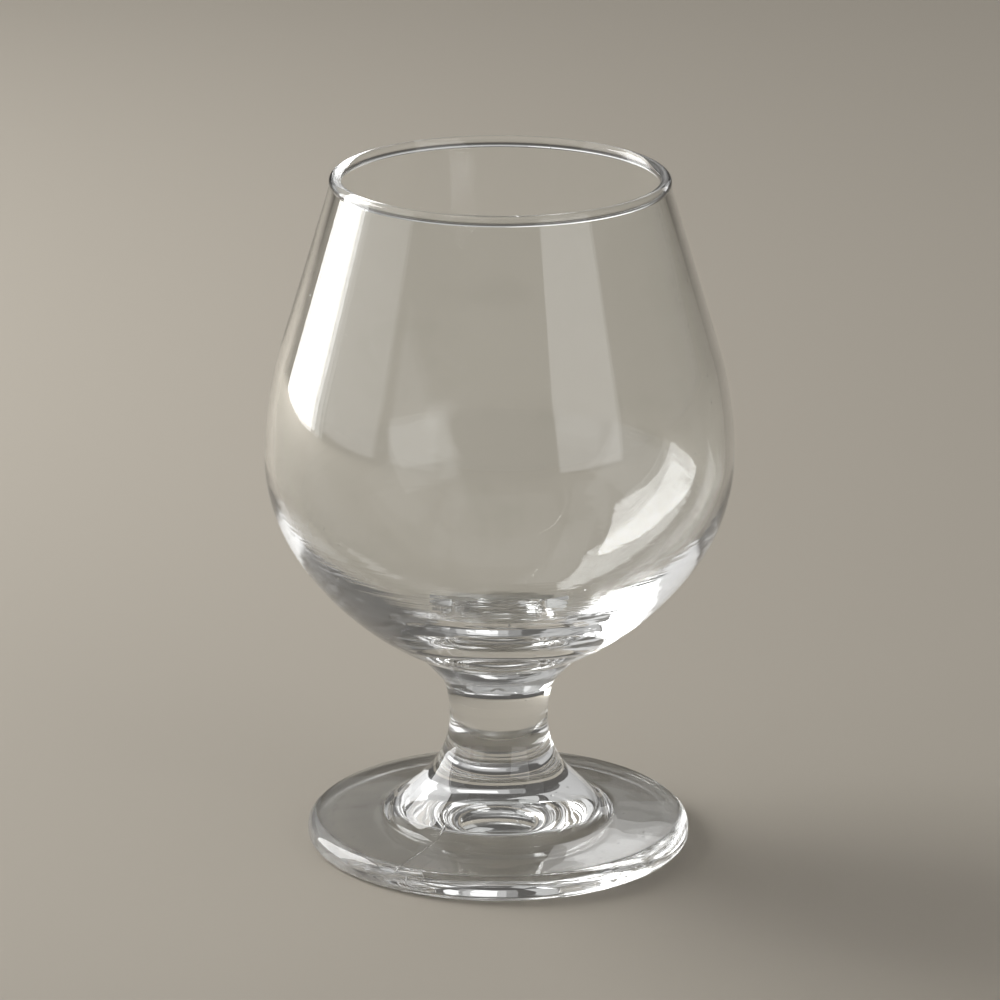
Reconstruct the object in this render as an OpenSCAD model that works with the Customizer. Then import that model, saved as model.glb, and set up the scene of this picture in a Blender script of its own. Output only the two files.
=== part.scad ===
// Brandy snifter in clear soda-lime glass: a blown bowl, a short pressed stem and a pressed foot,
// fused hot, face to face. The origin is at the middle of the ring that the glass stands on.

/* [Foot] */
// Diameter of the foot
foot_d = 71.8; // [60:0.1:90]
// Thickness of the foot at its edge
foot_edge_t = 4.6; // [4.2:0.1:6]
// Rounding over the top of the foot's edge
foot_over_round = 2.6; // [1:0.1:2.6]
// Rounding under the foot's edge
foot_under_round = 1.4; // [0.4:0.1:1.6]
// Angle at which the foot's top falls towards its edge
foot_fall = 4; // [0.5:0.5:6]
// Fillet between the foot's top and its cone
foot_fillet = 6.5; // [2:0.5:10]
// Width of the flat ring that the glass stands on
rest_ring_w = 3; // [1.5:0.1:6]
// Depth of the hollow under the foot
hollow_depth = 1.4; // [0.4:0.1:2.4]
// Diameter of the punt, the deeper dish under the stem
punt_d = 42; // [30:0.5:46]
// Depth of the punt
punt_depth = 6; // [3:0.1:8]
// Height of the foot, up to its joint with the stem
foot_h = 12; // [10:0.1:16]

/* [Stem] */
// Height of the stem between its two joints
stem_h = 24.8; // [22:0.1:34]
// Diameter of the stem at its waist
waist_d = 18.4; // [12:0.1:22]
// Height of the waist above the foot joint
waist_up = 11.7; // [9:0.1:14]
// Arc that flares the stem out below its waist
flare_arc = 16.5; // [15:0.1:30]
// Long arc in which the stem starts to open above its waist
draw_arc = 25; // [15:0.5:35]
// Angle that the stem has opened to where its neck starts
draw_turn = 14; // [6:0.5:18]
// Arc of the neck, under the bowl
neck_arc = 6; // [4:0.1:7]
// Diameter of the joint between stem and bowl
bowl_joint_d = 30.6; // [28:0.1:36]

/* [Bowl] */
// Height of the bowl from its joint to the top of the rim
bowl_h = 91.2; // [82:0.1:120]
// Outer diameter of the bowl at its belly
belly_d = 86.8; // [82:0.1:95]
// Height of the belly above the bowl's joint
belly_up = 38.2; // [36:0.1:42]
// Arc of the bowl's side below the belly
cup_arc = 33.3; // [28:0.1:35]
// Arc of the bowl's underside, from its joint up to the side
base_arc = 56.5; // [48:0.1:90]
// Arc of the bowl's shoulder, above the belly
shoulder_arc = 69.4; // [50:0.1:110]
// Outer diameter of the rim over its bead
rim_d = 62.5; // [54:0.1:76]
// Thickness of the fire-polished bead round the rim
rim_bead_d = 2.3; // [1.8:0.1:3]
// How far the bead stands out past the wall
bead_proud = 0.4; // [0:0.05:0.4]
// Thickness of the wall from the belly up
wall_t = 1.7; // [1:0.1:1.8]
// Thickness of glass between the bowl's floor and its joint
floor_t = 3.7; // [3:0.1:6]
// Arc of the inner side, from the floor up to the belly
cavity_arc = 27; // [20:0.1:28]

/* [Hidden] */
$fn = 96;
arc_steps = 10;
glass_tint = [0.86, 0.9, 0.88, 0.45];

foot_r = foot_d / 2;
waist_r = waist_d / 2;
bowl_joint_r = bowl_joint_d / 2;
belly_r = belly_d / 2;
stem_z = foot_h;
bowl_z = foot_h + stem_h;

// Points run from one end angle to the other on a circle, in the plane of radius and height.
function on_circle(centre, r, a) = centre + r * [cos(a), sin(a)];
function arc(centre, r, from, to) = [
    for (i = [0:arc_steps]) on_circle(centre, r, from + (to - from) * i / arc_steps)
];

// Angle on a circle where a straight line from point p touches it; side is 1 or -1.
function touch_angle(p, centre, r, side) =
    atan2(p.y - centre.y, p.x - centre.x) + side * acos(r / norm(p - centre));

// Crossing of two circles, on the side nearer the axis.
function crossing(c1, r1, c2, r2) =
    let (gap = norm(c2 - c1))
    let (along = (r1 * r1 - r2 * r2 + gap * gap) / (2 * gap))
    let (across = sqrt(r1 * r1 - along * along))
    let (u = (c2 - c1) / gap)
    let (side_a = c1 + along * u + across * [-u.y, u.x])
    let (side_b = c1 + along * u - across * [-u.y, u.x])
    side_a.x < side_b.x ? side_a : side_b;

// The flare ends on the foot joint: its angle, slope and radius there are shared by stem and foot.
flare_c = [waist_r + flare_arc, waist_up];
flare_turn = asin(waist_up / flare_arc);
cone_slope = 90 - flare_turn;
foot_joint_r = waist_r + flare_arc * (1 - cos(flare_turn));

// Solid of revolution from an outline of radius and height.
module turned(outline) {
    rotate_extrude() polygon(outline);
}

// Bowl: blown, thin at the side and thick at the floor, with a fire-polished bead for a rim.
bead_r = rim_bead_d / 2;
bead_c = [rim_d / 2 - bead_r, bowl_h - bead_r];
cup_c = [belly_r - cup_arc, belly_up];
base_c = crossing([bowl_joint_r, 0], base_arc, cup_c, base_arc - cup_arc);
base_from = atan2(-base_c.y, bowl_joint_r - base_c.x);
base_to = atan2(cup_c.y - base_c.y, cup_c.x - base_c.x);
shoulder_c = [belly_r - shoulder_arc, belly_up];
wall_top = [rim_d / 2 - bead_proud, bead_c.y];
shoulder_to = touch_angle(wall_top, shoulder_c, shoulder_arc, -1);
inner_top = wall_top - [wall_t, 0];
inner_shoulder_arc = shoulder_arc - wall_t;
inner_shoulder_to = touch_angle(inner_top, shoulder_c, inner_shoulder_arc, -1);
cavity_c = [belly_r - wall_t - cavity_arc, belly_up];
cavity_h = belly_up - floor_t;
floor_arc = (pow(cavity_h, 2) + pow(cavity_c.x, 2) - pow(cavity_arc, 2)) / (2 * (cavity_h - cavity_arc));
floor_c = [0, floor_t + floor_arc];
floor_to = atan2(cavity_c.y - floor_c.y, cavity_c.x);

function bowl_outline() = concat(
    [[0, 0]],
    arc(base_c, base_arc, base_from, base_to),
    arc(cup_c, cup_arc, base_to, 0),
    arc(shoulder_c, shoulder_arc, 0, shoulder_to),
    [wall_top, inner_top],
    arc(shoulder_c, inner_shoulder_arc, inner_shoulder_to, 0),
    arc(cavity_c, cavity_arc, 0, floor_to),
    arc(floor_c, floor_arc, floor_to, -90)
);

module bowl() {
    color(glass_tint) translate([0, 0, bowl_z]) rotate_extrude() {
        polygon(bowl_outline());
        translate(bead_c) circle(d = rim_bead_d);
    }
}

// Stem: pressed solid, drawn in to a waist, with a flat top that carries the bowl. The neck's arc goes on
// from where the stem has begun to open, and is limited by the largest one that still reaches the joint.
neck_fill_share = 0.98;
draw_c = [waist_r + draw_arc, waist_up];
neck_start = on_circle(draw_c, draw_arc, 180 - draw_turn);
neck_out = [cos(draw_turn), -sin(draw_turn)];
neck_run = [bowl_joint_r, stem_h] - neck_start;
neck_room = pow(norm(neck_run), 2) / (2 * neck_run * neck_out);
neck_fit = min(neck_arc, neck_room * neck_fill_share);
neck_c = neck_start + neck_fit * neck_out;
neck_to = touch_angle([bowl_joint_r, stem_h], neck_c, neck_fit, 1);

function stem_outline() = concat(
    [[0, 0]],
    arc(flare_c, flare_arc, 180 + flare_turn, 180),
    arc(draw_c, draw_arc, 180, 180 - draw_turn),
    arc(neck_c, neck_fit, 180 - draw_turn, neck_to),
    [[bowl_joint_r, stem_h], [0, stem_h]]
);

module stem() {
    color(glass_tint) translate([0, 0, stem_z]) turned(stem_outline());
}

// Foot: a pressed disc that rises in a cone to the stem, hollowed a little underneath, with a punt in
// the middle of the hollow.
over_c = [
    foot_r - foot_over_round,
    foot_edge_t - foot_over_round
];
under_c = [foot_r - foot_under_round, foot_under_round];
top_edge = on_circle(over_c, foot_over_round, 90 - foot_fall);
fall = [cos(foot_fall), -sin(foot_fall)];
cone = [cos(cone_slope), -sin(cone_slope)];
joint_edge = [foot_joint_r, foot_h];
cone_len = ((top_edge.y - joint_edge.y) * fall.x - (top_edge.x - joint_edge.x) * fall.y)
    / (cone.y * fall.x - cone.x * fall.y);
cone_foot = joint_edge + cone_len * cone;
fillet_len = foot_fillet * tan((cone_slope - foot_fall) / 2);
fillet_c = cone_foot - fillet_len * cone + foot_fillet * [sin(cone_slope), cos(cone_slope)];
hollow_r = under_c.x - rest_ring_w;
hollow_arc = (pow(hollow_r, 2) + pow(hollow_depth, 2)) / (2 * hollow_depth);
hollow_c = [0, hollow_depth - hollow_arc];
hollow_from = acos(hollow_r / hollow_arc);
punt_r = punt_d / 2;
hollow_to = acos(punt_r / hollow_arc);
punt_edge = on_circle(hollow_c, hollow_arc, hollow_to);
punt_arc = (pow(punt_r, 2) + pow(punt_depth, 2)) / (2 * punt_depth);
punt_c = [0, punt_edge.y + punt_depth - punt_arc];
punt_from = acos(punt_r / punt_arc);

function foot_outline() = concat(
    arc(punt_c, punt_arc, 90, punt_from),
    arc(hollow_c, hollow_arc, hollow_to, hollow_from),
    arc(under_c, foot_under_round, -90, 0),
    arc(over_c, foot_over_round, 0, 90 - foot_fall),
    arc(fillet_c, foot_fillet, -90 - foot_fall, -90 - cone_slope),
    [joint_edge, [0, foot_h]]
);

module foot() {
    color(glass_tint) turned(foot_outline());
}

bowl();
stem();
foot();
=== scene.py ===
"""A clear brandy snifter: a blown bowl on a short pressed stem and a heavy pressed foot.

The three pieces are glass, fused hot, face to face. Lengths are in metres, the axis of the glass is Z,
and the origin is the middle of the ring that the glass stands on.
"""
import logging
import math
from dataclasses import dataclass, field
from enum import Enum

import bmesh
import bpy
from mathutils import Matrix, Vector


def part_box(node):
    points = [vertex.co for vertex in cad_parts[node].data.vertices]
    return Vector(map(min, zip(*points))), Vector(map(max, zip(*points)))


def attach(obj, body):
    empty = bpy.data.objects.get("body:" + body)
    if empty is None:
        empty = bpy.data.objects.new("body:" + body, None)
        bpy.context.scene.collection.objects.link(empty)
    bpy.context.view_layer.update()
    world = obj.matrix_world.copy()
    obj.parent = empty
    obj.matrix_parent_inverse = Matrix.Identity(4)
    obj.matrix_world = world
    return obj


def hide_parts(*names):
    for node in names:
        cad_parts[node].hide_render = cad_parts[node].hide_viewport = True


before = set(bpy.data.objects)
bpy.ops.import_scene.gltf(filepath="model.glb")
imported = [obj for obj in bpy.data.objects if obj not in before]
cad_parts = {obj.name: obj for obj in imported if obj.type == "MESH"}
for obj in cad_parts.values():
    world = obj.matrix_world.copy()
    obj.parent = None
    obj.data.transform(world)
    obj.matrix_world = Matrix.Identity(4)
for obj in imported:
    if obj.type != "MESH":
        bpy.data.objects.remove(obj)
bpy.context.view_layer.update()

log = logging.getLogger("snifter")

MM = 0.001
UP = (0, 0, 1)
BODY = "root"
ROUND_STEPS = 256
ARC_STEPS = 28
BEAD_STEPS = 40


class Face(Enum):
    """Material slots of a piece of glass: what is seen, and the weld to its neighbour."""

    GLASS = 0
    WELD = 1


def linear(red: float, green: float, blue: float) -> tuple[float, float, float, float]:
    """Turns a colour as a picture shows it into the linear one that shaders take.

    Args:
        red: Red share of full white, from 0 to 1, as shown.
        green: Green share, likewise.
        blue: Blue share, likewise.

    Returns:
        Linear red, green and blue, with an alpha of 1.
    """
    knee, slope, lift, power = 0.04045, 12.92, 0.055, 2.4

    def one(shade: float) -> float:
        """Turns one shade."""
        return shade / slope if shade <= knee else ((shade + lift) / (1 + lift)) ** power

    return one(red), one(green), one(blue), 1.0


def on_circle(centre: Vector, radius: float, degrees: float) -> Vector:
    """Point of a circle in the plane of radius and height.

    Args:
        centre: Middle of the circle.
        radius: Its radius.
        degrees: Angle from the outward direction, counter-clockwise.

    Returns:
        The point, as radius and height.
    """
    turn = math.radians(degrees)
    return centre + radius * Vector((math.cos(turn), math.sin(turn)))


def touch_angle(point: Vector, centre: Vector, radius: float, side: int) -> float:
    """Angle on a circle where a straight line from a point touches it.

    Args:
        point: Where the line comes from.
        centre: Middle of the circle.
        radius: Its radius.
        side: 1 or -1, for the two lines.

    Returns:
        The angle in degrees.
    """
    away = point - centre
    return math.degrees(math.atan2(away.y, away.x) + side * math.acos(radius / away.length))


def crossing(centre_a: Vector, radius_a: float, centre_b: Vector, radius_b: float) -> Vector:
    """Crossing of two circles, on the side nearer the axis.

    Args:
        centre_a: Middle of the first circle.
        radius_a: Its radius.
        centre_b: Middle of the second circle.
        radius_b: Its radius.

    Returns:
        The crossing, as radius and height.
    """
    gap = (centre_b - centre_a).length
    along = (radius_a**2 - radius_b**2 + gap**2) / (2 * gap)
    across = math.sqrt(radius_a**2 - along**2)
    way = (centre_b - centre_a) / gap
    foot = centre_a + along * way
    sides = (foot + across * Vector((-way.y, way.x)), foot - across * Vector((-way.y, way.x)))
    return min(sides, key=lambda place: place.x)


class Outline:
    """An outline of radius and height, drawn as a chain of edges and then turned about the axis."""

    def __init__(self, radius: float, height: float) -> None:
        """Starts the outline at one point.

        Args:
            radius: Distance from the axis.
            height: Height above the rest plane.
        """
        self.mesh = bmesh.new()
        self.tip = self.mesh.verts.new((radius, 0, height))

    def line_to(self, point: Vector) -> None:
        """Draws a straight stretch.

        Args:
            point: Where it ends, as radius and height.
        """
        step = point - Vector((self.tip.co.x, self.tip.co.z))
        made = bmesh.ops.extrude_vert_indiv(self.mesh, verts=[self.tip])
        self.tip = made["verts"][0]
        bmesh.ops.translate(self.mesh, verts=[self.tip], vec=(step.x, 0, step.y))

    def arc(self, centre: Vector, degrees: float, steps: int = ARC_STEPS) -> None:
        """Turns the outline's tip round a centre.

        Args:
            centre: Middle of the arc, as radius and height.
            degrees: How far it turns, counter-clockwise.
            steps: Number of straight steps.
        """
        made = bmesh.ops.spin(
            self.mesh,
            geom=[self.tip],
            cent=(centre.x, 0, centre.y),
            axis=(0, -1, 0),
            angle=math.radians(degrees),
            steps=steps,
            use_merge=False,
            use_duplicate=False,
        )
        self.tip = next(part for part in made["geom_last"] if isinstance(part, bmesh.types.BMVert))

    def turned(self, name: str, weld_heights: tuple[float, ...]) -> bpy.types.Object:
        """Turns the outline into a closed piece of glass.

        Args:
            name: Name of the piece.
            weld_heights: Heights of the flat faces that are fused to a neighbour.

        Returns:
            The piece, smooth but for its sharp edges, with its welds in their own slot.
        """
        merge, sharp = 0.001 * MM, math.radians(28)
        bmesh.ops.spin(
            self.mesh,
            geom=self.mesh.verts[:] + self.mesh.edges[:],
            cent=(0, 0, 0),
            axis=UP,
            angle=math.tau,
            steps=ROUND_STEPS,
            use_merge=True,
            use_duplicate=False,
        )
        bmesh.ops.remove_doubles(self.mesh, verts=self.mesh.verts, dist=merge)
        bmesh.ops.dissolve_degenerate(self.mesh, edges=self.mesh.edges, dist=merge)
        bmesh.ops.recalc_face_normals(self.mesh, faces=self.mesh.faces)
        for height in weld_heights:
            level = {vert for vert in self.mesh.verts if abs(vert.co.z - height) < merge}
            for face in {face for vert in level for face in vert.link_faces}:
                if level.issuperset(face.verts):
                    face.material_index = Face.WELD.value
        mesh = bpy.data.meshes.new(name)
        self.mesh.to_mesh(mesh)
        self.mesh.free()
        mesh.shade_smooth()
        mesh.set_sharp_from_angle(angle=sharp)
        piece = bpy.data.objects.new(name, mesh)
        bpy.context.scene.collection.objects.link(piece)
        return piece


class Nodes:
    """Adds nodes and links to one node tree."""

    def __init__(self, tree: bpy.types.NodeTree) -> None:
        """Takes the tree to add to."""
        self.tree = tree

    def add(self, kind: str, settings: dict | None = None, **values: object) -> bpy.types.Node:
        """Adds a node.

        Args:
            kind: Blender's name of the node type.
            settings: Attributes of the node.
            values: Values of its inputs, with spaces in their names written as underscores.

        Returns:
            The node.
        """
        node = self.tree.nodes.new(kind)
        for key, value in (settings or {}).items():
            setattr(node, key, value)
        for key, value in values.items():
            node.inputs[key.replace("_", " ")].default_value = value
        return node

    def link(self, source: bpy.types.NodeSocket, target: bpy.types.NodeSocket) -> None:
        """Links an output to an input."""
        self.tree.links.new(source, target)

    def worked(self, operation: str, first: bpy.types.NodeSocket,
               second: bpy.types.NodeSocket) -> bpy.types.NodeSocket:
        """Works two values out into one.

        Args:
            operation: Blender's name of the operation.
            first: The first value.
            second: The second value.

        Returns:
            The result.
        """
        node = self.add("ShaderNodeMath", {"operation": operation})
        self.link(first, node.inputs[0])
        self.link(second, node.inputs[1])
        return node.outputs["Value"]

    def product(self, first: bpy.types.NodeSocket, second: bpy.types.NodeSocket) -> bpy.types.NodeSocket:
        """Multiplies two values."""
        return self.worked("MULTIPLY", first, second)

    def total(self, first: bpy.types.NodeSocket, second: bpy.types.NodeSocket) -> bpy.types.NodeSocket:
        """Adds two values."""
        return self.worked("ADD", first, second)

    def along(self, place: bpy.types.NodeSocket, way: tuple[float, float, float]) -> bpy.types.NodeSocket:
        """How far a place lies along a direction.

        Args:
            place: The place.
            way: The direction, of length 1.

        Returns:
            The distance.
        """
        node = self.add("ShaderNodeVectorMath", {"operation": "DOT_PRODUCT"})
        node.inputs[1].default_value = way
        self.link(place, node.inputs[0])
        return node.outputs["Value"]

    def stretched(self, place: bpy.types.NodeSocket,
                  shares: tuple[float, float, float]) -> bpy.types.NodeSocket:
        """Shrinks a place along each axis, which draws the pattern that reads it out along that axis.

        Args:
            place: The place.
            shares: What is kept along X, Y and Z.

        Returns:
            The new place.
        """
        node = self.add("ShaderNodeVectorMath", {"operation": "MULTIPLY"})
        node.inputs[1].default_value = shares
        self.link(place, node.inputs[0])
        return node.outputs["Vector"]

    def ramp(self, value: bpy.types.NodeSocket, first: float, last: float, at_first: float = 0.0,
             at_last: float = 1.0) -> bpy.types.NodeSocket:
        """Leads one value smoothly from a level to another while a second one rises between two limits.

        Args:
            value: The value that rises.
            first: Its lower limit.
            last: Its upper limit.
            at_first: The level at the lower limit and below it.
            at_last: The level at the upper limit and above it.

        Returns:
            The value that is led.
        """
        node = self.add("ShaderNodeMapRange", {"interpolation_type": "SMOOTHSTEP"}, From_Min=first,
                        From_Max=last, To_Min=at_first, To_Max=at_last)
        self.link(value, node.inputs["Value"])
        return node.outputs["Result"]

    def noise(self, place: bpy.types.NodeSocket, **values: float) -> bpy.types.Node:
        """Adds a noise that reads a place.

        Args:
            place: The place.
            values: Values of the noise's inputs.

        Returns:
            The noise.
        """
        node = self.add("ShaderNodeTexNoise", **values)
        self.link(place, node.inputs["Vector"])
        return node


@dataclass(frozen=True)
class SurfacePattern:
    """What all the glass shares, as one node group: waves, cords, seeds, smears and wear.

    Scales are in repeats to the metre. The other numbers are shares of a pattern's own range.
    """

    name: str = "glass_surface"
    cord_stretch: tuple[float, float, float] = (0.12, 0.12, 1.0)
    seed_middle: float = 0.02
    seed_edge: float = 0.07
    smear_scale: float = 55.0
    smear_from: float = 0.52
    smear_full: float = 0.75
    grit_scale: float = 900.0
    film_colour: tuple[float, float, float, float] = (0.96, 0.965, 0.955, 1.0)

    def group(self) -> bpy.types.NodeTree:
        """Builds the group, once.

        Returns:
            The node group. It puts out a height in metres, a roughness and a colour.
        """
        if self.name in bpy.data.node_groups:
            return bpy.data.node_groups[self.name]
        group = bpy.data.node_groups.new(self.name, "ShaderNodeTree")
        face = group.interface
        face.new_socket("Place", in_out="INPUT", socket_type="NodeSocketVector")
        face.new_socket("Tint", in_out="INPUT", socket_type="NodeSocketColor")
        for value in ("Wave Scale", "Wave Depth", "Cord Scale", "Cord Depth", "Seed Scale", "Seed Depth",
                      "Smear", "Wear", "Wear Height"):
            face.new_socket(value, in_out="INPUT", socket_type="NodeSocketFloat")
        for value in ("Height", "Roughness"):
            face.new_socket(value, in_out="OUTPUT", socket_type="NodeSocketFloat")
        face.new_socket("Color", in_out="OUTPUT", socket_type="NodeSocketColor")
        nodes = Nodes(group)
        given = nodes.add("NodeGroupInput").outputs
        put = nodes.add("NodeGroupOutput").inputs
        film = self.film(nodes, given)
        dulled = nodes.add("ShaderNodeMixRGB", {"blend_type": "MULTIPLY"}, Color2=self.film_colour)
        nodes.link(film, dulled.inputs["Fac"])
        nodes.link(given["Tint"], dulled.inputs["Color1"])
        smear = nodes.product(film, given["Smear"])
        nodes.link(self.height(nodes, given), put["Height"])
        nodes.link(nodes.total(smear, self.worn(nodes, given)), put["Roughness"])
        nodes.link(dulled.outputs["Color"], put["Color"])
        return group

    def height(self, nodes: Nodes, given: bpy.types.NodeOutputs) -> bpy.types.NodeSocket:
        """Works out the height: waves, cords drawn out level round the glass, and seeds.

        Args:
            nodes: The group's nodes.
            given: The group's inputs.

        Returns:
            The height in metres.
        """
        waves = nodes.noise(given["Place"], Detail=1.0, Roughness=0.4)
        nodes.link(given["Wave Scale"], waves.inputs["Scale"])
        drawn = nodes.stretched(given["Place"], self.cord_stretch)
        cords = nodes.noise(drawn, Detail=2.0, Roughness=0.6, Distortion=0.3)
        nodes.link(given["Cord Scale"], cords.inputs["Scale"])
        cells = nodes.add("ShaderNodeTexVoronoi")
        nodes.link(given["Place"], cells.inputs["Vector"])
        nodes.link(given["Seed Scale"], cells.inputs["Scale"])
        seeds = nodes.ramp(cells.outputs["Distance"], self.seed_middle, self.seed_edge, -1.0, 0.0)
        uneven = nodes.total(nodes.product(waves.outputs["Fac"], given["Wave Depth"]),
                             nodes.product(cords.outputs["Fac"], given["Cord Depth"]))
        return nodes.total(uneven, nodes.product(seeds, given["Seed Depth"]))

    def film(self, nodes: Nodes, given: bpy.types.NodeOutputs) -> bpy.types.NodeSocket:
        """Works out where smears lie.

        Args:
            nodes: The group's nodes.
            given: The group's inputs.

        Returns:
            A mask.
        """
        smears = nodes.noise(given["Place"], Scale=self.smear_scale, Detail=3.0, Roughness=0.65,
                             Distortion=0.6)
        return nodes.ramp(smears.outputs["Fac"], self.smear_from, self.smear_full)

    def worn(self, nodes: Nodes, given: bpy.types.NodeOutputs) -> bpy.types.NodeSocket:
        """Works out how dull the glass is where it stands.

        Args:
            nodes: The group's nodes.
            given: The group's inputs.

        Returns:
            A roughness.
        """
        near = nodes.ramp(nodes.along(given["Place"], UP), 0.0, 1.0, 1.0, 0.0)
        nodes.link(given["Wear Height"], near.node.inputs["From Max"])
        grit = nodes.noise(given["Place"], Scale=self.grit_scale, Detail=2.0)
        return nodes.product(nodes.product(near, grit.outputs["Fac"]), given["Wear"])


@dataclass(frozen=True)
class GlassFinish:
    """Clear glass with the faint waves, cords and seeds of its making, and the marks of its use."""

    name: str
    tint: tuple[float, float, float, float] = (0.985, 0.993, 0.988, 1.0)
    index: float = 1.52
    wave_size: float = 14 * MM
    wave_depth: float = 0.01 * MM
    cord_pitch: float = 2.2 * MM
    cord_depth: float = 0.004 * MM
    seed_gap: float = 4 * MM
    seed_depth: float = 0.02 * MM
    smear: float = 0.015
    wear: float = 0.0
    wear_height: float = 0.2 * MM

    def material(self) -> bpy.types.Material:
        """Builds the glass.

        Returns:
            The material.
        """
        made = bpy.data.materials.new(self.name)
        made.use_nodes = True
        made.node_tree.nodes.clear()
        nodes = Nodes(made.node_tree)
        place = nodes.add("ShaderNodeTexCoord")
        surface = nodes.add(
            "ShaderNodeGroup",
            {"node_tree": SurfacePattern().group()},
            Tint=self.tint,
            Wave_Scale=1 / self.wave_size,
            Wave_Depth=self.wave_depth,
            Cord_Scale=1 / self.cord_pitch,
            Cord_Depth=self.cord_depth,
            Seed_Scale=1 / self.seed_gap,
            Seed_Depth=self.seed_depth,
            Smear=self.smear,
            Wear=self.wear,
            Wear_Height=self.wear_height,
        )
        bump = nodes.add("ShaderNodeBump", Strength=1.0, Distance=1.0)
        glass = nodes.add("ShaderNodeBsdfPrincipled", IOR=self.index, Transmission_Weight=1.0)
        out = nodes.add("ShaderNodeOutputMaterial")
        nodes.link(place.outputs["Object"], surface.inputs["Place"])
        height = self.height(nodes, place.outputs["Object"], surface.outputs["Height"])
        nodes.link(height, bump.inputs["Height"])
        nodes.link(bump.outputs["Normal"], glass.inputs["Normal"])
        nodes.link(surface.outputs["Roughness"], glass.inputs["Roughness"])
        nodes.link(surface.outputs["Color"], glass.inputs["Base Color"])
        nodes.link(glass.outputs["BSDF"], out.inputs["Surface"])
        return made

    def height(self, nodes: Nodes, place: bpy.types.NodeSocket,
               shared: bpy.types.NodeSocket) -> bpy.types.NodeSocket:
        """Height of the surface in metres: the shared pattern, to which the finishes add their own."""
        return shared


@dataclass(frozen=True)
class BlownFinish(GlassFinish):
    """Blown glass, with the ripples that its lower flanks keep from the blowing."""

    ripple_pitch: float = 1.6 * MM
    ripple_depth: float = 0.055 * MM
    ripple_from: float = 44 * MM
    ripple_full: float = 57 * MM
    ripple_gone: float = 79 * MM
    ripple_stretch: tuple[float, float, float] = (0.06, 0.06, 1.0)

    def height(self, nodes: Nodes, place: bpy.types.NodeSocket,
               shared: bpy.types.NodeSocket) -> bpy.types.NodeSocket:
        """Adds the ripples to the shared pattern: none at the thick floor, most on the flanks.

        Args:
            nodes: The material's nodes.
            place: The place on the piece.
            shared: Height of the shared pattern.

        Returns:
            The height in metres.
        """
        drawn = nodes.stretched(place, self.ripple_stretch)
        ripples = nodes.noise(drawn, Scale=1 / self.ripple_pitch, Detail=2.0, Roughness=0.55)
        up = nodes.along(place, UP)
        rise = nodes.ramp(up, self.ripple_from, self.ripple_full)
        fade = nodes.ramp(up, self.ripple_full, self.ripple_gone, self.ripple_depth, 0.0)
        return nodes.total(shared, nodes.product(ripples.outputs["Fac"], nodes.product(rise, fade)))


@dataclass(frozen=True)
class PressedFinish(GlassFinish):
    """Pressed glass, with the hairline that the mould's parting leaves on top of the foot, on one side."""

    seam_turn: float = 238
    seam_half_width: float = 0.28 * MM
    seam_height: float = 0.045 * MM
    seam_from: float = 18 * MM
    seam_above: float = 3 * MM

    def height(self, nodes: Nodes, place: bpy.types.NodeSocket,
               shared: bpy.types.NodeSocket) -> bpy.types.NodeSocket:
        """Adds the mould's hairline to the shared pattern.

        Args:
            nodes: The material's nodes.
            place: The place on the piece.
            shared: Height of the shared pattern.

        Returns:
            The height in metres.
        """
        turn = math.radians(self.seam_turn)
        beside = nodes.along(place, (-math.sin(turn), math.cos(turn), 0))
        outward = nodes.along(place, (math.cos(turn), math.sin(turn), 0))
        off = nodes.add("ShaderNodeMath", {"operation": "ABSOLUTE"})
        nodes.link(beside, off.inputs[0])
        ridge = nodes.ramp(off.outputs["Value"], 0.0, self.seam_half_width, self.seam_height, 0.0)
        start = nodes.ramp(outward, self.seam_from, self.seam_from + MM)
        top = nodes.ramp(nodes.along(place, UP), self.seam_above, self.seam_above + MM)
        return nodes.total(shared, nodes.product(ridge, nodes.product(start, top)))


@dataclass(frozen=True)
class WeldFinish:
    """Where two pieces are fused there is no surface: light goes straight on."""

    name: str = "weld"

    def material(self) -> bpy.types.Material:
        """Builds the weld's material.

        Returns:
            The material.
        """
        made = bpy.data.materials.new(self.name)
        made.use_nodes = True
        made.node_tree.nodes.clear()
        nodes = Nodes(made.node_tree)
        clear = nodes.add("ShaderNodeBsdfTransparent")
        out = nodes.add("ShaderNodeOutputMaterial")
        nodes.link(clear.outputs["BSDF"], out.inputs["Surface"])
        return made


def seat(piece: bpy.types.Object, node: str, glass: bpy.types.Material) -> None:
    """Dresses a piece, and puts it on its body in place of its node.

    Args:
        piece: The piece.
        node: The node that it stands for.
        glass: Its material.
    """
    piece.data.materials.append(glass)
    piece.data.materials.append(bpy.data.materials.get("weld") or WeldFinish().material())
    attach(piece, BODY)
    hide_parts(node)
    log.info("%s: %d faces", piece.name, len(piece.data.polygons))


@dataclass
class Joints:
    """Where the pieces meet, as the CAD has it."""

    foot_top: float = field(default_factory=lambda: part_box("stem")[0].z)
    stem_top: float = field(default_factory=lambda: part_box("stem")[1].z)
    rim_top: float = field(default_factory=lambda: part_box("bowl")[1].z)
    bowl_r: float = 15.3 * MM
    waist_r: float = 9.2 * MM
    waist_up: float = 11.7 * MM
    flare_arc: float = 16.5 * MM

    @property
    def flare_turn(self) -> float:
        """Degrees that the stem's flare turns before it meets the foot."""
        return math.degrees(math.asin(self.waist_up / self.flare_arc))

    @property
    def foot_r(self) -> float:
        """Radius of the joint between stem and foot."""
        return self.waist_r + self.flare_arc * (1 - math.cos(math.radians(self.flare_turn)))


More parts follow.
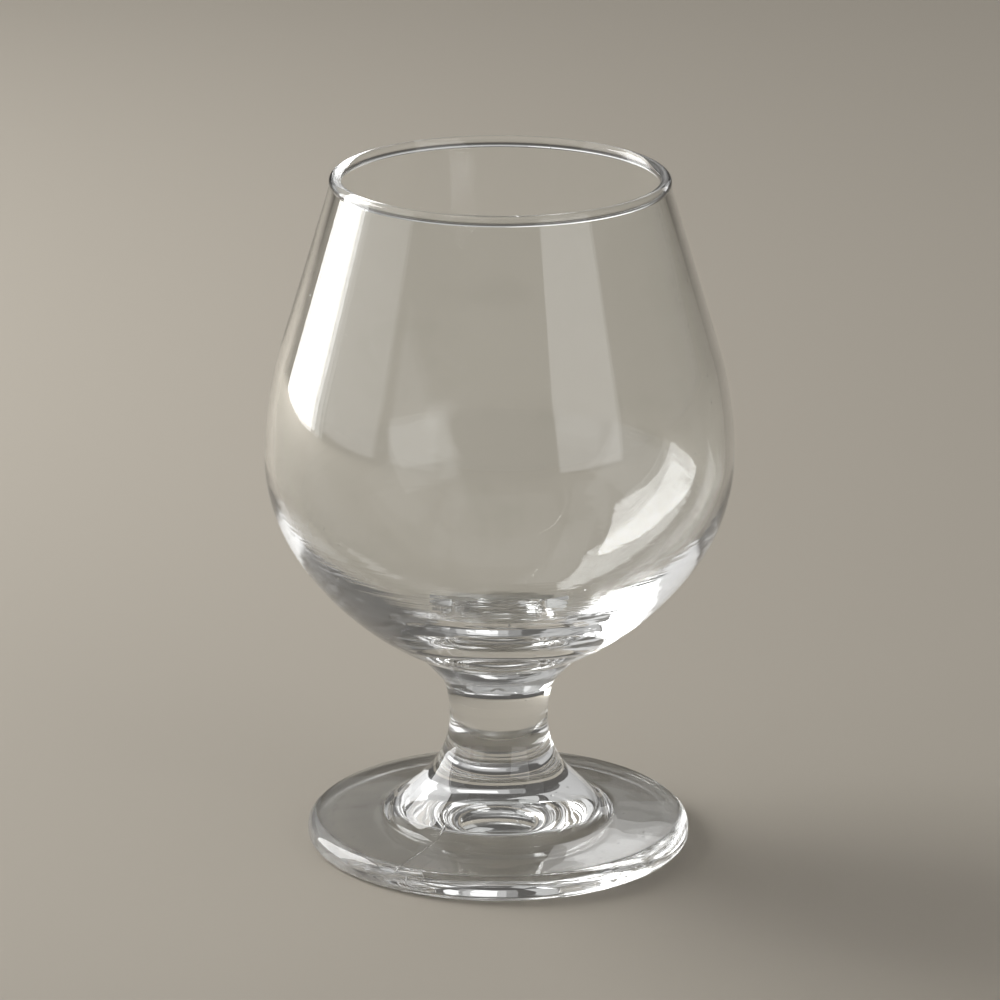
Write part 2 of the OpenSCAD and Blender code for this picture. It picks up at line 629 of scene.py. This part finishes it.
@dataclass
class Bowl:
    """The blown bowl: a thick floor, a thin side and a fire-polished bead for a rim."""

    joints: Joints
    finish: GlassFinish
    belly_r: float = 43.4 * MM
    belly_up: float = 38.2 * MM
    cup_arc: float = 33.3 * MM
    base_arc: float = 56.5 * MM
    shoulder_arc: float = 69.4 * MM
    rim_r: float = 31.25 * MM
    bead_r: float = 1.15 * MM
    bead_proud: float = 0.4 * MM
    wall_t: float = 1.7 * MM
    floor_t: float = 3.7 * MM
    cavity_arc: float = 27 * MM

    def build(self) -> bpy.types.Object:
        """Turns the bowl.

        Returns:
            The bowl.
        """
        low = self.joints.stem_top
        belly_z = low + self.belly_up
        corner = Vector((self.joints.bowl_r, low))
        cup_c = Vector((self.belly_r - self.cup_arc, belly_z))
        base_c = crossing(corner, self.base_arc, cup_c, self.base_arc - self.cup_arc)
        base_from = math.degrees(math.atan2(low - base_c.y, corner.x - base_c.x))
        base_to = math.degrees(math.atan2(cup_c.y - base_c.y, cup_c.x - base_c.x))
        shoulder_c = Vector((self.belly_r - self.shoulder_arc, belly_z))
        bead_c = Vector((self.rim_r - self.bead_r, self.joints.rim_top - self.bead_r))
        wall_top = Vector((self.rim_r - self.bead_proud, bead_c.y))
        wall_to = touch_angle(wall_top, shoulder_c, self.shoulder_arc, -1)
        inner_top = wall_top - Vector((self.wall_t, 0))
        inner_arc = self.shoulder_arc - self.wall_t
        inner_to = touch_angle(inner_top, shoulder_c, inner_arc, -1)
        cavity_c = Vector((self.belly_r - self.wall_t - self.cavity_arc, belly_z))
        deep = self.belly_up - self.floor_t
        floor_arc = (deep**2 + cavity_c.x**2 - self.cavity_arc**2) / (2 * (deep - self.cavity_arc))
        floor_c = Vector((0, low + self.floor_t + floor_arc))
        floor_to = math.degrees(math.atan2(cavity_c.y - floor_c.y, cavity_c.x))
        walls = ((on_circle(shoulder_c, self.shoulder_arc, wall_to), wall_top),
                 (on_circle(shoulder_c, inner_arc, inner_to), inner_top))
        bead_from, bead_to = self.bead_ends(bead_c, walls)
        outline = Outline(0, low)
        outline.line_to(corner)
        outline.arc(base_c, base_to - base_from)
        outline.arc(cup_c, -base_to)
        outline.arc(shoulder_c, wall_to)
        outline.line_to(on_circle(bead_c, self.bead_r, bead_from))
        outline.arc(bead_c, bead_to - bead_from, BEAD_STEPS)
        outline.line_to(on_circle(shoulder_c, inner_arc, inner_to))
        outline.arc(shoulder_c, -inner_to)
        outline.arc(cavity_c, floor_to)
        outline.arc(floor_c, -90 - floor_to)
        piece = outline.turned("blown_bowl", (low,))
        seat(piece, "bowl", self.finish.material())
        return piece

    def bead_ends(self, bead_c: Vector, walls: tuple[tuple[Vector, Vector], ...]) -> tuple[float, float]:
        """Angles on the bead where the outer and the inner wall run into it.

        Args:
            bead_c: Middle of the bead, as radius and height.
            walls: Start and end of each wall's straight stretch, the outer wall first.

        Returns:
            The two angles in degrees, the outer one first, turning over the top of the bead.
        """
        ends = []
        for start, end in walls:
            way = (end - start).normalized()
            off = bead_c - start
            along = off.dot(way)
            beside = (off - along * way).length
            meet = start + (along - math.sqrt(self.bead_r**2 - beside**2)) * way
            ends.append(math.degrees(math.atan2(meet.y - bead_c.y, meet.x - bead_c.x)))
        first, last = ends
        return first, last if last > first else last + 360


@dataclass
class Stem:
    """The pressed stem, drawn in to a waist under the bowl."""

    joints: Joints
    finish: GlassFinish
    draw_arc: float = 25 * MM
    draw_turn: float = 14
    neck_arc: float = 6 * MM

    def build(self) -> bpy.types.Object:
        """Turns the stem.

        Returns:
            The stem.
        """
        low, high = self.joints.foot_top, self.joints.stem_top
        waist = Vector((self.joints.waist_r, low + self.joints.waist_up))
        draw_c = waist + Vector((self.draw_arc, 0))
        neck_c = on_circle(draw_c, self.draw_arc - self.neck_arc, 180 - self.draw_turn)
        corner = Vector((self.joints.bowl_r, high))
        neck_to = touch_angle(corner, neck_c, self.neck_arc, 1)
        outline = Outline(0, low)
        outline.line_to(Vector((self.joints.foot_r, low)))
        outline.arc(waist + Vector((self.joints.flare_arc, 0)), -self.joints.flare_turn)
        outline.arc(draw_c, -self.draw_turn)
        outline.arc(neck_c, neck_to - 180 + self.draw_turn)
        outline.line_to(corner)
        outline.line_to(Vector((0, high)))
        piece = outline.turned("pressed_stem", (low, high))
        seat(piece, "stem", self.finish.material())
        return piece


@dataclass
class Foot:
    """The heavy pressed foot: a disc with a rounded edge that rises in a cone to the stem."""

    joints: Joints
    finish: GlassFinish
    radius: float = 35.9 * MM
    edge_t: float = 4.6 * MM
    over_round: float = 2.6 * MM
    under_round: float = 1.4 * MM
    fall: float = 4
    fillet: float = 6.5 * MM
    rest_ring_w: float = 3 * MM
    hollow_depth: float = 1.4 * MM
    punt_r: float = 21 * MM
    punt_depth: float = 6 * MM

    def build(self) -> bpy.types.Object:
        """Turns the foot.

        Returns:
            The foot.
        """
        slope = 90 - self.joints.flare_turn
        over_c = Vector((self.radius - self.over_round, self.edge_t - self.over_round))
        under_c = Vector((self.radius - self.under_round, self.under_round))
        top_edge = on_circle(over_c, self.over_round, 90 - self.fall)
        top_way = Vector((math.cos(math.radians(self.fall)), -math.sin(math.radians(self.fall))))
        cone_way = Vector((math.cos(math.radians(slope)), -math.sin(math.radians(slope))))
        corner = Vector((self.joints.foot_r, self.joints.foot_top))
        gap = top_edge - corner
        cone_foot = corner + (gap.y * top_way.x - gap.x * top_way.y) / (
            cone_way.y * top_way.x - cone_way.x * top_way.y) * cone_way
        run = self.fillet * math.tan(math.radians((slope - self.fall) / 2))
        fillet_c = cone_foot - run * cone_way + self.fillet * Vector((-cone_way.y, cone_way.x))
        hollow_r = under_c.x - self.rest_ring_w
        hollow_arc = (hollow_r**2 + self.hollow_depth**2) / (2 * self.hollow_depth)
        hollow_c = Vector((0, self.hollow_depth - hollow_arc))
        hollow_from = math.degrees(math.acos(hollow_r / hollow_arc))
        punt_at = math.degrees(math.acos(self.punt_r / hollow_arc))
        punt_z = on_circle(hollow_c, hollow_arc, punt_at).y
        punt_arc = (self.punt_r**2 + self.punt_depth**2) / (2 * self.punt_depth)
        punt_c = Vector((0, punt_z + self.punt_depth - punt_arc))
        punt_turn = math.degrees(math.asin(self.punt_r / punt_arc))
        outline = Outline(0, punt_z + self.punt_depth)
        outline.arc(punt_c, -punt_turn)
        outline.arc(hollow_c, hollow_from - punt_at)
        outline.line_to(on_circle(under_c, self.under_round, -90))
        outline.arc(under_c, 90)
        outline.line_to(on_circle(over_c, self.over_round, 0))
        outline.arc(over_c, 90 - self.fall)
        outline.line_to(on_circle(fillet_c, self.fillet, -90 - self.fall))
        outline.arc(fillet_c, self.fall - slope)
        outline.line_to(corner)
        outline.line_to(Vector((0, corner.y)))
        piece = outline.turned("pressed_foot", (corner.y,))
        seat(piece, "foot", self.finish.material())
        return piece


@dataclass(frozen=True)
class Softbox:
    """A soft light round the glass, placed by the directions that its edges are seen in from the glass.

    Directions are in degrees: left and right are counted from the camera's side towards the right,
    low and high from the level upwards. The strength is the brightness of its face, where 1 is white.
    """

    name: str
    left: float
    right: float
    low: float
    high: float
    distance: float
    strength: float

    def hang(self, centre: Vector) -> bpy.types.Object:
        """Hangs the light, facing the glass.

        Args:
            centre: The point that the light faces.

        Returns:
            The lamp.
        """
        around = math.radians((self.left + self.right) / 2)
        up = math.radians((self.low + self.high) / 2)
        away = Vector((math.sin(around) * math.cos(up), -math.cos(around) * math.cos(up), math.sin(up)))
        lamp = bpy.data.lights.new(self.name, "AREA")
        lamp.shape = "RECTANGLE"
        lamp.size = 2 * self.distance * math.tan(math.radians(abs(self.right - self.left) / 2))
        lamp.size_y = 2 * self.distance * math.tan(math.radians(abs(self.high - self.low) / 2))
        lamp.energy = self.strength * math.pi * lamp.size * lamp.size_y
        placed = bpy.data.objects.new(self.name, lamp)
        facing = away.to_track_quat("Z", "Y").to_matrix().to_4x4()
        placed.matrix_world = Matrix.Translation(centre + self.distance * away) @ facing
        bpy.context.scene.collection.objects.link(placed)
        return placed


@dataclass
class Studio:
    """Pale plain floor, soft lights and the camera."""

    floor_half: float = 4.0
    floor_drop: float = 0.02 * MM
    floor_roughness: float = 0.85
    floor_gloss: float = 0.2
    floor_colour: tuple[float, float, float, float] = linear(0.76, 0.731, 0.681)
    world_shade: tuple[float, float, float, float] = (0.1, 0.096, 0.092, 1.0)
    world_strength: float = 1.0
    middle: Vector = field(default_factory=lambda: Vector((0, 0, 0.065)))
    camera_back: float = 0.954745
    camera_up: float = 0.367776
    pitch: float = 17.544
    pan: float = 0.0074
    roll: float = 0.178
    focal_pixels: float = 5404.57
    picture_pixels: float = 1000
    light_bounces: int = 64
    softboxes: tuple[Softbox, ...] = (
        Softbox("left_rear_window", -103, -132, -4, 26, 0.9, 5.5),
        Softbox("left_rear_skylight", -103, -132, 26, 46, 0.9, 7.0),
        Softbox("left_curtain", -97, -103, -4, 40, 0.9, 1.5),
        Softbox("left_window", -62, -97, -2, 40, 0.9, 0.8),
        Softbox("front_left_window", -31, -55, -2, 16, 1.1, 0.4),
        Softbox("rear_left_wall", -134, -160, 10, 36, 1.0, 0.45),
        Softbox("right_rear_lamp", 150, 160, 11, 21, 1.0, 1.0),
        Softbox("rear_lamp", 171, 176, 22, 28, 1.1, 1.0),
        Softbox("rear_lamp_glow", 167, 179, 20, 30, 1.15, 0.7),
        Softbox("rear_wall_near", 163, 183, 16, 32, 1.2, 0.25),
        Softbox("rear_wall", 157, 188, 12, 34, 1.25, 0.2),
        Softbox("front_right_window", 28, 62, -2, 38, 1.2, 1.15),
        Softbox("right_window", 64, 90, 28, 60, 1.2, 0.35),
        Softbox("upper_left_wall", -150, -84, 48, 66, 1.1, 0.5),
        Softbox("ceiling", -25, 25, 66, 114, 1.3, 0.35),
    )

    def floor(self) -> None:
        """Lays the floor, a hair below the ring that the glass stands on."""
        mesh = bmesh.new()
        bmesh.ops.create_grid(mesh, x_segments=2, y_segments=2, size=self.floor_half,
                              matrix=Matrix.Translation((0, 0, -self.floor_drop)))
        data = bpy.data.meshes.new("floor")
        mesh.to_mesh(data)
        mesh.free()
        made = bpy.data.materials.new("floor")
        made.use_nodes = True
        shader = made.node_tree.nodes["Principled BSDF"]
        shader.inputs["Base Color"].default_value = self.floor_colour
        shader.inputs["Roughness"].default_value = self.floor_roughness
        shader.inputs["Specular IOR Level"].default_value = self.floor_gloss
        data.materials.append(made)
        floor = bpy.data.objects.new("floor", data)
        bpy.context.scene.collection.objects.link(floor)

    def light(self) -> None:
        """Hangs the lights and sets the room's shade."""
        for box in self.softboxes:
            box.hang(self.middle)
        world = bpy.data.worlds.new("room")
        world.use_nodes = True
        world.node_tree.nodes["Background"].inputs["Color"].default_value = self.world_shade
        world.node_tree.nodes["Background"].inputs["Strength"].default_value = self.world_strength
        bpy.context.scene.world = world

    def camera(self) -> None:
        """Sets up the camera at the picture's viewing angle."""
        data = bpy.data.cameras.new("camera")
        data.lens = self.focal_pixels / self.picture_pixels * data.sensor_width
        camera = bpy.data.objects.new("camera", data)
        aim = (Matrix.Rotation(math.radians(-self.pan), 4, "Z")
               @ Matrix.Rotation(math.radians(90 - self.pitch), 4, "X")
               @ Matrix.Rotation(math.radians(self.roll), 4, "Z"))
        camera.matrix_world = Matrix.Translation((0, -self.camera_back, self.camera_up)) @ aim
        bpy.context.scene.collection.objects.link(camera)
        bpy.context.scene.camera = camera

    def build(self) -> None:
        """Builds the floor, the lights and the camera."""
        self.floor()
        self.light()
        self.camera()
        bpy.context.scene.view_settings.view_transform = "Standard"
        paths = bpy.context.scene.cycles
        paths.max_bounces = paths.transmission_bounces = paths.glossy_bounces = self.light_bounces
        paths.transparent_max_bounces = self.light_bounces


def main() -> None:
    """Builds the glass and the studio round it, and reports each piece."""
    logging.basicConfig(level=logging.INFO)
    joints = Joints()
    blown = BlownFinish("blown_glass")
    pressed = PressedFinish("pressed_glass", wave_size=10 * MM, wave_depth=0.12 * MM, cord_depth=0.003 * MM,
                            wear=0.3)
    for part in (Bowl(joints, blown), Stem(joints, pressed), Foot(joints, pressed)):
        part.build()
    Studio().build()


if __name__ == "__main__":
    main()
